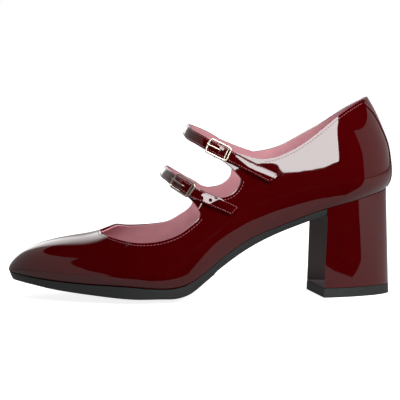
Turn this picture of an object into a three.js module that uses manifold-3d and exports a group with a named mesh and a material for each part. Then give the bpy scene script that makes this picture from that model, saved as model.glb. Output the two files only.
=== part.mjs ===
// A left mary jane shoe in patent leather: two buckled straps, covered block heel, almond toe.
// Millimetres. +X runs to the toe, +Y to the outer (buckle) side of the foot, +Z up; the floor is z = 0.
import * as THREE from 'three';
import ManifoldModule from 'manifold-3d';

const wasm = await ManifoldModule();
wasm.setup();
const { Manifold, Mesh } = wasm;

// ---- driving sizes ------------------------------------------------------------------------
const BACK_X = -121.5;        // back seam at the heel seat
const TOE_X = 119;            // tip of the toe
const WALL = 2;               // upper: patent leather, stiffening and lining together
const GAP = 0.3;              // clearance between pieces that meet
const INSOLE = 2;             // insole thickness
const TOP_PIECE = 5.8;        // rubber top piece under the heel
const STRAP_WIDE = 7;
const STRAP_THICK = 1.6;
const STRAP_CUT = 2.6;        // the free end is cut at a slant: its lower corner falls short by this
const WIRE = 0.6;             // radius of the buckle wire
const PRONG = 0.42;           // radius of the prong
const FRAME_LONG = 15.4;      // buckle frame over its end bars, along the strap
const FRAME_WIDE = 10;        // buckle frame over its rails, across the strap
const HOLE = 0.95;            // radius of the punched holes
const SOLE_EDGE = 0.8;        // the sole stands out this far from the upper at the forefoot
const BREAST_LATERAL = -78;   // x of the heel breast on the outer side
const BREAST_MEDIAL = -74.8;  // and on the inner side: the heel is turned with the foot
const CENTRE = [-2.26, 4.42]; // shift that puts the origin under the middle of the shoe

// ---- the form of the last ------------------------------------------------------------------
const table = (names, rows) => rows.map((row) => Object.fromEntries(names.map((n, i) => [n, row[i]])));

// Widest outline seen from above, and the ridge line along the top of the foot.
const PLAN = table(['x', 'ridge', 'lateral', 'medial'], [
  [-121.5, -8.5, -8.5, -8.5],
  [-105, -6.2, 18.8, -31.2],
  [-85, -3.4, 26.8, -33.6],
  [-62, -0.2, 29.1, -29.5],
  [-38, 3.0, 31.5, -25.5],
  [-12, 5.0, 37.0, -26.0],
  [12, 5.5, 42.0, -29.0],
  [36, 4.5, 44.5, -33.0],
  [58, 2.5, 41.0, -36.0],
  [78, -1.5, 32.0, -35.0],
  [96, -5.5, 21.0, -32.0],
  [108, -7.9, 10.7, -26.5],
  [115, -9.2, 1.3, -19.7],
  [119, -9.8, -9.8, -9.8],
]);

// Feather line, where the upper meets the sole.
const FEATHER = table(['x', 'z'], [
  [-121.5, 67], [-110, 64.1], [-99, 61.4], [-78, 56.4], [-62, 51.3], [-48, 46.1], [-34, 40.9],
  [-26, 37.2], [-18, 32.4], [-10, 26.8], [-2, 20.4], [6, 14.8], [14, 10.9], [23, 9.4], [36, 9.9],
  [53, 11.3], [72, 12], [98, 13.7], [108, 14.9], [119, 16.7],
]);

// Ridge line; behind x = 60 it is the line of the foot that the straps cross.
const RIDGE = table(['x', 'z'], [
  [-121.5, 132.5], [-85, 134.5], [-60, 136.5], [-38, 137.5], [-20, 135.6], [-8, 129.6], [0, 120.6],
  [9, 105.1], [16, 91.1], [25, 77.1], [36, 62.1], [50, 48.2], [63, 42.1], [78, 39.1], [96, 35.1],
  [105, 31.7], [110, 28.9], [114.5, 25], [119, 16.7],
]);

// Fullness of a cross-section: across the top, up the side, and the tuck under at the feather.
const SECTION = table(['x', 'across', 'side', 'tuck', 'tuckHigh'], [
  [-121.5, 2, 2.15, 4.5, 15], [-85, 2, 2.15, 4.5, 15], [-50, 2, 2.1, 4.4, 20],
  [-12, 2.2, 2.1, 4.1, 19], [20, 2.4, 2.3, 3.2, 12.5], [50, 2.3, 2.1, 2.6, 9],
  [80, 2.25, 1.95, 2.4, 8], [119, 2.2, 2, 2.2, 7],
]);

// Back seam: how far it stands forward (+) of the seat, by height above the seat.
const BACK = table(['high', 'forward'], [
  [0, 1], [3.4, -0.9], [9, -2], [18.7, -1.3], [27.7, 0.3], [36.7, 3.6], [48.7, 9], [56.7, 13.6],
  [72.7, 24],
]);

// Underside of the sole: height of its edge, and how far the middle hangs below the edge.
const UNDERSIDE = table(['x', 'edge', 'crown'], [
  [-80, 53.4, 0.8], [-66, 48.5, 1], [-48, 41.9, 1.4], [-32, 34.4, 1.6], [-16, 24.6, 1.8],
  [-7, 18.1, 2.2], [1, 12, 2.8], [8, 6.7, 3.6], [15, 3.8, 4.2], [24, 3.3, 4.2], [41, 3.3, 4.2],
  [64, 5, 3.8], [95, 8.3, 2.6], [110, 10.6, 1.6], [119, 11.9, 0.6],
]);

// Openings. Heights are on the outside of the leather; 1 is the lateral side, -1 the medial.
const TOPLINE = table(['side', 'x', 'z'], [
  [1, -35, 87.7], [1, -42.1, 88.2], [1, -51.1, 91.1], [1, -60.9, 96.1], [1, -72, 103.7],
  [1, -83.4, 112], [1, -100.3, 121.2], [1, -121.5, 124.3], [-1, -102, 120.5], [-1, -90, 112.3],
  [-1, -79.3, 105.3], [-1, -68.2, 99.5], [-1, -53.3, 92.3], [-1, -45.9, 90.3], [-1, -38, 89.2],
]);
const THROAT = table(['side', 'x', 'z'], [
  [1, 3.7, 55.3], [1, 4.4, 52.7], [1, 7.6, 49.4], [1, 13.2, 45.1], [1, 21.1, 41], [1, 28.9, 38.7],
  [1, 36.6, 37.7], [1, 44.1, 37.6], [1, 50.5, 38.4], [1, 56.3, 39.6], [0, 62.6, 0],
  [-1, 54.8, 44.4], [-1, 45.1, 43.6], [-1, 31.6, 43.1], [-1, 23.2, 43.8], [-1, 14.9, 45.9],
  [-1, 9, 49.4], [-1, 4.6, 52.4], [-1, 1.9, 55.4],
]);
const GAP_LATERAL = table(['x', 'z'], [
  [-22.3, 76], [-21.8, 73.1], [-20.3, 70.3], [-17.2, 67.2], [-12.3, 65], [-9, 64.6],
]);
const GAP_MEDIAL = table(['x', 'z'], [
  [-23.6, 78.6], [-22.8, 74.1], [-18.9, 69.7], [-13.4, 67.3], [-9.5, 66.7],
]);

// Middle line of each strap from its seam on the medial side, over the foot, to its free end.
// lift is the height of its underside over the leather below.
const STRAP_UPPER = table(['side', 'x', 'z', 'lift'], [
  [-1, -13.5, 94.8, -STRAP_THICK], [-1, -7, 98.8, -STRAP_THICK], [-1, 1.5, 102.7, -STRAP_THICK],
  [0, 9.2, 0, -STRAP_THICK], [1, 4.5, 100.7, -1.2], [1, -1.2, 96.8, 0.8], [1, -7.6, 93.2, 1.95],
  [1, -14.4, 89.8, 0.8], [1, -21, 86.5, 0.4], [1, -30, 82.1, 0.4], [1, -44.2, 75.0, 0.4],
]);
const STRAP_LOWER = table(['side', 'x', 'z', 'lift'], [
  [-1, 1, 67.3, -STRAP_THICK], [-1, 8, 71.1, -STRAP_THICK], [-1, 16, 75.9, -STRAP_THICK],
  [0, 23.4, 0, -STRAP_THICK], [1, 21.8, 77.7, -1.2], [1, 18.4, 74.8, 0.8], [1, 13.4, 71.4, 1.95],
  [1, 8, 67.9, 0.8], [1, 3, 65.5, 0.4], [1, -5, 62.1, 0.4], [1, -19.0, 55.8, 0.4],
]);
const BUCKLE_ROW = 6;         // the row of each strap table at the middle of the buckle

// ---- smooth curves through the tables ------------------------------------------------------
function spline(xs, ys) {
  const n = xs.length;
  const h = xs.slice(1).map((x, i) => x - xs[i]);
  const m = new Array(n).fill(0), c = new Array(n).fill(0), d = new Array(n).fill(0);
  for (let i = 1; i < n - 1; i++) {
    const b = 2 * (h[i - 1] + h[i]) - h[i - 1] * c[i - 1];
    const r = 6 * ((ys[i + 1] - ys[i]) / h[i] - (ys[i] - ys[i - 1]) / h[i - 1]);
    c[i] = h[i] / b;
    d[i] = (r - h[i - 1] * d[i - 1]) / b;
  }
  for (let i = n - 2; i > 0; i--) m[i] = d[i] - c[i] * m[i + 1];
  return (x) => {
    let i = 0;
    while (i < n - 2 && x > xs[i + 1]) i++;
    const a = (xs[i + 1] - x) / h[i], b = 1 - a;
    return a * ys[i] + b * ys[i + 1] + ((a ** 3 - a) * m[i] + (b ** 3 - b) * m[i + 1]) * h[i] ** 2 / 6;
  };
}
const clamp = (v, lo, hi) => Math.min(hi, Math.max(lo, v));
const mix = (a, b, k) => a + (b - a) * k;
const share = (x) => Math.acos(1 - 2 * clamp((x - BACK_X) / (TOE_X - BACK_X), 0, 1)) / Math.PI;
const station = (s) => BACK_X + (TOE_X - BACK_X) * (1 - Math.cos(Math.PI * clamp(s, 0, 1))) / 2;
const byShare = (rows, name) => spline(rows.map((r) => share(r.x)), rows.map((r) => r[name]));
const byX = (rows, name) => spline(rows.map((r) => r.x), rows.map((r) => r[name]));

const ridgeY = byShare(PLAN, 'ridge');
const lateralY = byShare(PLAN, 'lateral');
const medialY = byShare(PLAN, 'medial');
const featherZ = byX(FEATHER, 'z');
const ridgeZ = byShare(RIDGE, 'z');
const across = byShare(SECTION, 'across');
const sideways = byShare(SECTION, 'side');
const tuck = byShare(SECTION, 'tuck');
const tuckHigh = byShare(SECTION, 'tuckHigh');
const backForward = spline(BACK.map((r) => r.high), BACK.map((r) => r.forward));
const undersideEdge = byX(UNDERSIDE, 'edge');
const undersideCrown = byX(UNDERSIDE, 'crown');

// The lean of the back seam dies out along the quarters.
const fade = (s) => Math.max(0, 1 - (s / 0.46) ** 2) ** 2;

// Outside of the leather at station share s; angle 0 is the lateral feather, 90 deg the ridge,
// 180 deg the medial feather.
function surface(s, angle) {
  const x = station(s);
  const cos = Math.cos(angle), side = Math.sign(cos) || 1;
  const wide = Math.max(0, side > 0 ? lateralY(s) - ridgeY(s) : ridgeY(s) - medialY(s));
  const low = featherZ(x), high = Math.max(0, ridgeZ(s) - low);
  const up = high * Math.max(0, Math.sin(angle)) ** (2 / sideways(s));
  const out = wide * Math.abs(cos) ** (2 / across(s));
  const reach = Math.max(1e-6, Math.min(tuckHigh(s), 0.5 * high));
  const under = tuck(s) * Math.min(1, wide / 26) * Math.max(0, 1 - up / reach) ** 2;
  const y = ridgeY(s) + side * (out - Math.min(under, out));
  return new THREE.Vector3(x + backForward(up) * fade(s), y, low + up);
}
function normal(s, angle) {
  const e = 1e-3;
  if (s > 1 - e) return new THREE.Vector3(1, 0, 0);
  const one = (a) => {
    const s0 = Math.max(0, s - e), s1 = Math.min(1, s + e);
    const a0 = clamp(a - e, 0, Math.PI), a1 = clamp(a + e, 0, Math.PI);
    const ds = surface(s1, a).sub(surface(s0, a));
    const da = surface(Math.max(s, 1e-4), a1).sub(surface(Math.max(s, 1e-4), a0));
    return da.cross(ds).normalize();
  };
  const n = one(angle);
  if (s < e) n.add(one(Math.PI - angle)).normalize();
  return n;
}
// A point of the upper, sunk below its outside; the feather edge stays level.
function leather(s, angle, sink) {
  const n = normal(s, clamp(angle, 0.02, Math.PI - 0.02));
  const edge = clamp(Math.min(angle, Math.PI - angle) / 0.12, 0, 1);
  n.z *= edge;
  return surface(s, angle).addScaledVector(n.normalize(), -sink);
}
// Angle of the point of a side wall at height z.
function angleAt(side, x, z) {
  const s = share(x), low = featherZ(x);
  if (side === 0) return Math.PI / 2;
  const a = Math.asin(clamp((z - low) / (ridgeZ(s) - low), 0, 1) ** (sideways(s) / 2));
  return side > 0 ? a : Math.PI - a;
}
// Curve through points of the surface, evaluated at k in 0..1 along its length.
function curve(rows) {
  const at = rows.map((r) => [r.x, angleAt(r.side, r.x, r.z)]);
  const where = at.map(([x, a]) => surface(share(x), a));
  const run = [0];
  for (let i = 1; i < at.length; i++) run.push(run[i - 1] + where[i].distanceTo(where[i - 1]));
  const fx = spline(run, at.map((p) => p[0])), fa = spline(run, at.map((p) => p[1]));
  const total = run[run.length - 1];
  return { run, total, at: (d) => [fx(d), fa(d)] };
}

// ---- solids from mapped blocks --------------------------------------------------------------
// A block is a function of (i, j, k), each 0..1, with its number of steps; blocks that share a
// face grow together, because faces met from both sides are dropped.
function solid(blocks) {
  const points = [], index = new Map(), faces = new Map();
  const id = (p) => {
    const key = [p.x, p.y, p.z].map((v) => Math.round(v * 2000)).join();
    if (!index.has(key)) { index.set(key, points.length); points.push(p.clone()); }
    return index.get(key);
  };
  const keep = (loop) => {
    const key = [...loop].sort((p, q) => p - q).join();
    if (faces.has(key)) faces.delete(key); else faces.set(key, loop);
  };
  for (const { f, n: [ni, nj, nk] } of blocks) {
    const loops = [];
    const v = (i, j, k) => id(f(i / ni, j / nj, k / nk));
    const quad = (a, b, c, d) => {
      const loop = [a, b, c, d].filter((p, i, all) => p !== all[(i + 3) % 4]);
      if (new Set(loop).size > 2) loops.push(loop);
    };
    for (let i = 0; i < ni; i++) for (let j = 0; j < nj; j++) {
      quad(v(i, j, 0), v(i, j + 1, 0), v(i + 1, j + 1, 0), v(i + 1, j, 0));
      quad(v(i, j, nk), v(i + 1, j, nk), v(i + 1, j + 1, nk), v(i, j + 1, nk));
    }
    for (let i = 0; i < ni; i++) for (let k = 0; k < nk; k++) {
      quad(v(i, 0, k), v(i + 1, 0, k), v(i + 1, 0, k + 1), v(i, 0, k + 1));
      quad(v(i, nj, k), v(i, nj, k + 1), v(i + 1, nj, k + 1), v(i + 1, nj, k));
    }
    for (let j = 0; j < nj; j++) for (let k = 0; k < nk; k++) {
      quad(v(0, j, k), v(0, j, k + 1), v(0, j + 1, k + 1), v(0, j + 1, k));
      quad(v(ni, j, k), v(ni, j + 1, k), v(ni, j + 1, k + 1), v(ni, j, k + 1));
    }
    // a mapping that mirrors turns the block inside out: its faces are turned back
    let volume = 0;
    for (const loop of loops) for (let i = 2; i < loop.length; i++) {
      const [a, b, c] = [points[loop[0]], points[loop[i - 1]], points[loop[i]]];
      volume += a.dot(new THREE.Vector3().crossVectors(b, c));
    }
    loops.forEach((loop) => keep(volume < 0 ? loop.reverse() : loop));
  }
  const tris = [];
  for (const q of faces.values()) {
    if (q.length === 3) { tris.push(q); continue; }
    const [a, b, c, d] = q.map((i) => points[i]);
    if (a.distanceTo(c) <= b.distanceTo(d)) tris.push([q[0], q[1], q[2]], [q[0], q[2], q[3]]);
    else tris.push([q[0], q[1], q[3]], [q[1], q[2], q[3]]);
  }
  return geometry(points.flatMap((p) => [p.x, p.y, p.z]), tris.flat());
}
function geometry(flat, indices) {
  const geo = new THREE.BufferGeometry();
  geo.setAttribute('position', new THREE.Float32BufferAttribute(flat, 3));
  geo.setIndex(indices);
  const p = geo.attributes.position;
  const [a, b, c] = [0, 1, 2].map(() => new THREE.Vector3());
  let volume = 0;
  for (let i = 0; i < indices.length; i += 3) {
    a.fromBufferAttribute(p, indices[i]); b.fromBufferAttribute(p, indices[i + 1]);
    c.fromBufferAttribute(p, indices[i + 2]);
    volume += a.dot(b.cross(c)) / 6;
  }
  if (volume < 0) {
    const turned = [];
    for (let i = 0; i < indices.length; i += 3) turned.push(indices[i], indices[i + 2], indices[i + 1]);
    geo.setIndex(turned);
  }
  return geo;
}
const toManifold = (geo) => {
  const mesh = new Mesh({
    numProp: 3, vertProperties: Float32Array.from(geo.attributes.position.array),
    triVerts: Uint32Array.from(geo.index.array),
  });
  mesh.merge();
  return new Manifold(mesh);
};
const fromManifold = (body) => {
  const m = body.getMesh();
  const flat = [];
  for (let i = 0; i < m.vertProperties.length; i += m.numProp) {
    flat.push(m.vertProperties[i], m.vertProperties[i + 1], m.vertProperties[i + 2]);
  }
  return geometry(flat, Array.from(m.triVerts));
};

// ---- straps ---------------------------------------------------------------------------------
function strap(rows) {
  const path = curve(rows), buckleAt = path.run[BUCKLE_ROW];
  const lift = spline(path.run, rows.map((r) => r.lift));
  const frame = (d) => {
    const point = (q) => { const [x, a] = path.at(q); return surface(share(x), a); };
    const [x, a] = path.at(d);
    const n = normal(share(x), a);
    const t = point(Math.min(path.total, d + 0.5)).sub(point(Math.max(0, d - 0.5)));
    t.addScaledVector(n, -t.dot(n)).normalize();
    return { o: point(d), t, n, b: new THREE.Vector3().crossVectors(t, n).normalize() };
  };
  const body = (i, j, k) => {
    const end = path.total - STRAP_CUT * j, d = i * end, f = frame(d);
    const tip = Math.max(0, 1 - (end - d) / 1.2);
    const half = STRAP_WIDE / 2 - 0.5 * tip * tip;
    const high = lift(d) + k * STRAP_THICK;
    return f.o.clone().addScaledVector(f.n, high).addScaledVector(f.b, (j * 2 - 1) * half);
  };
  return { path, frame, lift, body, buckleAt };
}
const straps = { upper: strap(STRAP_UPPER), lower: strap(STRAP_LOWER) };

// ---- upper ----------------------------------------------------------------------------------
const topline = (() => {
  const shareOf = (r) => {
    let s = share(r.x);
    if (r.x === BACK_X) return 0;
    for (let i = 0; i < 20; i++) {
      s = mix(s, share(r.x - backForward(r.z - featherZ(station(s))) * fade(s)), 0.6);
    }
    return s;
  };
  const keys = TOPLINE.map((r) => r.side * shareOf(r)).reverse();
  return spline(keys, TOPLINE.map((r) => r.z).reverse());
})();
const throat = curve(THROAT);
const throatFront = throat.run[THROAT.findIndex((r) => r.side === 0)];
const wallPoint = (side, x, z) => [share(x), angleAt(side, x, z)];

// Edge of one side of the upper from the back seam to the toe: list of [share, angle].
function sideEdge(side, gapRows) {
  const neck = TOPLINE[side > 0 ? 0 : TOPLINE.length - 1];
  const edge = [];
  const n1 = 13;
  for (let i = 0; i <= n1; i++) {
    const s = share(neck.x) * i / n1;
    const a = angleAt(side, station(s), topline(side * s));
    edge.push([s, a]);
  }
  const g = curve(gapRows.map((r) => ({ side, ...r })));
  const n2 = 4, n3 = 5, n4 = 4, n5 = 15, n6 = 13;
  const along = (from, to, k) => wallPoint(side, mix(from.x, to.x, k), mix(from.z, to.z, k));
  for (let i = 1; i <= n2; i++) edge.push(along(neck, gapRows[0], i / n2));
  for (let i = 1; i <= n3; i++) {
    const [x, a] = g.at(g.total * i / n3);
    edge.push([share(x), a]);
  }
  const last = gapRows[gapRows.length - 1];
  const start = side > 0 ? THROAT[0] : THROAT[THROAT.length - 1];
  for (let i = 1; i <= n4; i++) edge.push(along(last, start, i / n4));
  for (let i = 1; i <= n5; i++) {
    const k = 1 - (1 - i / n5) ** 1.15;
    const d = side > 0 ? throatFront * k : mix(throat.total, throatFront, k);
    const [x, a] = throat.at(d);
    edge.push([share(x), i === n5 ? Math.PI / 2 : a]);
  }
  const s0 = edge[edge.length - 1][0];
  for (let i = 1; i <= n6; i++) edge.push([mix(s0, 1, i / n6), Math.PI / 2]);
  return { edge, n: edge.length - 1, necks: [[n1, n2], [n1 + n2 + n3, n4]] };
}
const ROWS = 11;
function sideBlock(side, gapRows) {
  const { edge, n, necks } = sideEdge(side, gapRows);
  const block = {
    n: [n, ROWS, 1],
    f: (i, j, k) => {
      const [s, a] = edge[Math.round(i * n)];
      const foot = side > 0 ? 0 : Math.PI;
      const t = j ** 1.6;
      return leather(s, mix(foot, a, t), WALL * (1 - k));
    },
  };
  // An ear runs on from a neck to the line where a strap or buckle meets it.
  const ear = ([first, count], tipTop, tipLow, bowTop, bowLow) => {
    const steps = 5;
    const points = [];
    for (let c = 0; c <= count; c++) {
      const [s, a] = edge[first + c];
      const p = surface(s, a);
      const k = c / count;
      const row = [];
      for (let d = 0; d <= steps; d++) {
        const q = d / steps;
        const bow = 4 * q * (1 - q);
        const x = mix(station(s), mix(tipTop.x, tipLow.x, k), q) + mix(bowTop[0], bowLow[0], k) * bow;
        const z = mix(p.z, mix(tipTop.z, tipLow.z, k), q) + mix(bowTop[1], bowLow[1], k) * bow;
        row.push(d === 0 ? [s, a] : wallPoint(side, x, z));
      }
      points.push(row);
    }
    return {
      n: [count, steps, 1],
      f: (i, j, k) => {
        const [s, a] = points[Math.round(i * count)][Math.round(j * steps)];
        return leather(s, a, WALL * (1 - k));
      },
    };
  };
  return { block, ear, necks };
}
function upper() {
  const lat = sideBlock(1, GAP_LATERAL), med = sideBlock(-1, GAP_MEDIAL);
  // The ends of a tip line: upper and lower corner of the band at d, moved back along it.
  const tip = (one, d, back) => {
    const f = one.frame(d);
    const at = (w) => {
      const p = f.o.clone().addScaledVector(f.b, w * STRAP_WIDE / 2).addScaledVector(f.t, -back);
      return { x: p.x, z: p.z };
    };
    return [at(1), at(-1)].sort((a, b) => b.z - a.z);
  };
  const { upper: up, lower: low } = straps;
  return solid([
    lat.block, med.block,
    lat.ear(lat.necks[0], ...tip(up, up.buckleAt + 0.2, 0), [0, -1.0], [-1.0, 0.8]),
    lat.ear(lat.necks[1], ...tip(low, low.buckleAt + 0.2, 0), [0, -1.4], [-1.6, 0.2]),
    med.ear(med.necks[0], ...tip(up, 0, GAP), [0, -0.4], [-1.0, 0.6]),
    med.ear(med.necks[1], ...tip(low, 0, GAP), [0, -0.9], [-1.4, 0.2]),
  ]);
}

// ---- sole, insole, heel ---------------------------------------------------------------------
// Inside floor: dished a little across the foot.
const dish = spline([-122, -60, -20, 20, 70, 119], [1.6, 1.4, 1.6, 3.0, 3.0, 0.4]);
function outline(s, side, sink) {
  const p = leather(s, side > 0 ? 0 : Math.PI, sink);
  return p;
}
const floorAt = (s, v, x) => featherZ(x) - dish(x) * Math.min(1, Math.sin(Math.PI * s) * 1.6) * (1 - v * v);

function plate(from, to, steps, sink, heights, cross = 6) {
  // from and to are pairs of x, lateral and medial; heights gives z of bottom and top.
  return {
    n: [steps, cross, 1],
    f: (i, j, k) => {
      const sL = mix(share(from[0]), share(to[0]), i), sM = mix(share(from[1]), share(to[1]), i);
      const L = outline(sL, 1, sink(sL, k)), M = outline(sM, -1, sink(sM, k));
      const v = j * 2 - 1;
      const p = M.clone().lerp(L, j);
      p.z = heights(mix(sM, sL, j), v, p.x)[k > 0.5 ? 1 : 0];
      return p;
    },
  };
}
const insole = () => solid([plate([BACK_X, BACK_X], [TOE_X, TOE_X], 44,
  (s) => WALL + GAP + 0.1 + 1.5 * clamp((s - 0.88) / 0.12, 0, 1),
  (s, v, x) => [floorAt(s, v, x) + 0.12, floorAt(s, v, x) + 0.12 + INSOLE])]);

function outsole() {
  // stands out at the ball, tucks in at the tip; its edge is bevelled inwards to the bottom
  const toe = (s, from) => clamp((s - from) / (1 - from), 0, 1) ** 2;
  const edge = (s, k) => mix(-SOLE_EDGE * clamp((station(s) - 2) / 16, 0, 1), 0.9, toe(s, 0.86))
    + (1 - k) * mix(0.5, 2.2, toe(s, 0.75));
  return solid([plate([BREAST_LATERAL, BREAST_MEDIAL], [TOE_X, TOE_X], 44, edge, (s, v, x) => {
    const crown = undersideCrown(x) * Math.min(1, 5 * (1 - s));
    const bottom = undersideEdge(x) - crown * (1 - Math.abs(v) ** 1.35);
    const top = floorAt(s, v, x) - GAP - 0.1;
    return [Math.min(Math.max(0, bottom), top - 1.2), top];
  }, 8)]);
}
function heelBlock(low, high, topFollows, flare) {
  // The D of the heel: outer edges run from the breast round the back; the breast is flat.
  const steps = 14;
  return {
    n: [steps, 6, topFollows ? 8 : 1],
    f: (i, j, k) => {
      const sL = mix(0, share(BREAST_LATERAL - GAP), i), sM = mix(0, share(BREAST_MEDIAL - GAP), i);
      const L = outline(sL, 1, 0), M = outline(sM, -1, 0);
      const p = M.clone().lerp(L, j);
      const seat = floorAt(mix(sM, sL, j), j * 2 - 1, p.x) - GAP;
      const z = mix(low, topFollows ? seat : high, k);
      const h = clamp(z / 60, 0, 1);
      // taper of the block in plan, towards the middle of the heel
      const cx = -97, cy = -5;
      const shrinkY = mix(0.91, 1, h ** 1.6) + flare, shrinkX = mix(1.08, 1, h);
      const back = p.x < cx ? shrinkX : mix(1.09, 1, Math.min(1, h / 0.8));
      return new THREE.Vector3(cx + (p.x - cx) * back, cy + (p.y - cy) * shrinkY, z);
    },
  };
}
const heel = () => solid([heelBlock(TOP_PIECE + GAP, 0, true, 0)]);
const topPiece = () => solid([heelBlock(0, TOP_PIECE, false, 0.01)]);

// ---- buckles --------------------------------------------------------------------------------
function tube(points, radius, closed, sides = 8) {
  const n = points.length;
  const curveAt = (i) => points[closed ? (i + n) % n : clamp(i, 0, n - 1)];
  const up = new THREE.Vector3();
  const rings = [];
  let before = null;
  for (let i = 0; i < n; i++) {
    const t = curveAt(i + 1).clone().sub(curveAt(i - 1)).normalize();
    if (!before) before = Math.abs(t.x) < 0.8 ? new THREE.Vector3(1, 0, 0) : new THREE.Vector3(0, 1, 0);
    up.copy(before).addScaledVector(t, -before.dot(t)).normalize();
    before = up.clone();
    const side = new THREE.Vector3().crossVectors(t, up);
    rings.push([...Array(sides).keys()].map((k) => {
      const a = 2 * Math.PI * k / sides;
      const [u, w] = [radius * Math.cos(a), radius * Math.sin(a)];
      return points[i].clone().addScaledVector(up, u).addScaledVector(side, w);
    }));
  }
  const flat = [], tris = [];
  rings.flat().forEach((p) => flat.push(p.x, p.y, p.z));
  const spans = closed ? n : n - 1;
  let shift = 0;
  if (closed) {
    // start the last join at the corner that turned least
    const a = rings[n - 1][0];
    let best = Infinity;
    rings[0].forEach((p, k) => { if (p.distanceTo(a) < best) { best = p.distanceTo(a); shift = k; } });
  }
  for (let i = 0; i < spans; i++) {
    const off = closed && i === n - 1 ? shift : 0, j = (i + 1) % n;
    for (let k = 0; k < sides; k++) {
      const a = i * sides + k, b = i * sides + (k + 1) % sides;
      const c = j * sides + (k + 1 + off) % sides, d = j * sides + (k + off) % sides;
      tris.push(a, b, c, a, c, d);
    }
  }
  if (!closed) {
    for (const [i, turn] of [[0, true], [n - 1, false]]) {
      const mid = flat.length / 3;
      flat.push(points[i].x, points[i].y, points[i].z);
      for (let k = 0; k < sides; k++) {
        const a = i * sides + k, b = i * sides + (k + 1) % sides;
        tris.push(...(turn ? [mid, b, a] : [mid, a, b]));
      }
    }
  }
  return geometry(flat, tris);
}
const FRAME_HIGH = 3.6;       // middle of the frame wire over the leather at the centre bar
const BAR_HIGH = 1.0;         // middle of the centre bar
function local(one) {
  const f = one.frame(one.buckleAt);
  return (t, b, n) => f.o.clone().addScaledVector(f.t, t).addScaledVector(f.b, b).addScaledVector(f.n, n);
}
function buckleFrame(one) {
  const at = local(one);
  const L = FRAME_LONG / 2 - WIRE, W = FRAME_WIDE / 2 - WIRE, R = 1.7;
  const loop = [];
  const l = L - R, w = W - R;
  for (const [ct, cb, from] of [[l, w, 0], [-l, w, 90], [-l, -w, 180], [l, -w, 270]]) {
    for (let i = 0; i <= 4; i++) {
      const a = (from + 22.5 * i) * Math.PI / 180;
      loop.push(at(ct + R * Math.cos(a), cb + R * Math.sin(a), FRAME_HIGH));
    }
  }
  const bar = [[W, FRAME_HIGH], [W, BAR_HIGH + 0.7], [W - 0.7, BAR_HIGH], [-(W - 0.7), BAR_HIGH],
    [-W, BAR_HIGH + 0.7], [-W, FRAME_HIGH]].map(([b, n]) => at(0, b, n));
  const body = toManifold(tube(loop, WIRE, true)).add(toManifold(tube(bar, WIRE - 0.02, false)));
  return fromManifold(body);
}
const PRONG_PATH = table(['along', 'high'], [
  [-8.0, 4.88], [-7.0, 4.94], [0.4, 4.94], [1.1, 4.6], [1.45, 3.8], [1.5, 2.5], [1.5, 1.1],
]);
const prong = (one) => {
  const at = local(one);
  return tube(PRONG_PATH.map((r) => at(r.along, 0, r.high)), PRONG, false);
};
function strapSolid(one, holes) {
  let body = toManifold(solid([{ n: [46, 2, 1], f: one.body }]));
  for (const d of holes) {
    const f = one.frame(d);
    const round = new THREE.CylinderGeometry(HOLE, HOLE, 8, 16).toNonIndexed();
    const turn = new THREE.Matrix4().makeBasis(f.t, f.n, new THREE.Vector3().crossVectors(f.t, f.n));
    round.applyMatrix4(turn);
    round.translate(f.o.x, f.o.y, f.o.z);
    round.deleteAttribute('normal'); round.deleteAttribute('uv');
    const flat = Array.from(round.attributes.position.array);
    body = body.subtract(toManifold(weld(flat)));
  }
  return fromManifold(body);
}
function weld(flat) {
  const index = new Map(), out = [], tris = [];
  for (let i = 0; i < flat.length; i += 3) {
    const key = [0, 1, 2].map((k) => Math.round(flat[i + k] * 5000)).join();
    if (!index.has(key)) { index.set(key, out.length / 3); out.push(flat[i], flat[i + 1], flat[i + 2]); }
    tris.push(index.get(key));
  }
  const kept = [];
  for (let i = 0; i < tris.length; i += 3) {
    const [a, b, c] = [tris[i], tris[i + 1], tris[i + 2]];
    if (a !== b && b !== c && a !== c) kept.push(a, b, c);
  }
  return geometry(out, kept);
}

// ---- the shoe -------------------------------------------------------------------------------
const colour = (color, roughness, metalness) =>
  new THREE.MeshStandardMaterial({ color, roughness, metalness });
const shoe = new THREE.Group();
shoe.name = 'mary_jane_left';
function add(name, geo, material) {
  geo.translate(-CENTRE[0], -CENTRE[1], 0);
  geo.computeVertexNormals();
  const mesh = new THREE.Mesh(geo, material);
  mesh.name = name;
  shoe.add(mesh);
}
add('upper', upper(), colour(0x4a0408, 0.12, 0));
add('insole', insole(), colour(0xb98a8c, 0.6, 0));
add('outsole', outsole(), colour(0x2f3030, 0.6, 0));
add('heel_block', heel(), colour(0x4a0408, 0.12, 0));
add('top_piece', topPiece(), colour(0x2a2a2c, 0.7, 0));
add('strap_upper', strapSolid(straps.upper, [straps.upper.buckleAt + 1.5]), colour(0x4a0408, 0.12, 0));
add('strap_lower', strapSolid(straps.lower, [straps.lower.buckleAt + 1.5,
  straps.lower.buckleAt + 21, straps.lower.buckleAt + 25]), colour(0x4a0408, 0.12, 0));
add('buckle_frame_upper', buckleFrame(straps.upper), colour(0xcbbfae, 0.25, 1));
add('buckle_frame_lower', buckleFrame(straps.lower), colour(0xcbbfae, 0.25, 1));
add('buckle_prong_upper', prong(straps.upper), colour(0xcbbfae, 0.25, 1));
add('buckle_prong_lower', prong(straps.lower), colour(0xcbbfae, 0.25, 1));

export default shoe;
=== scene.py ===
"""A left mary jane shoe in burgundy patent leather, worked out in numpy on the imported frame."""

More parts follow.
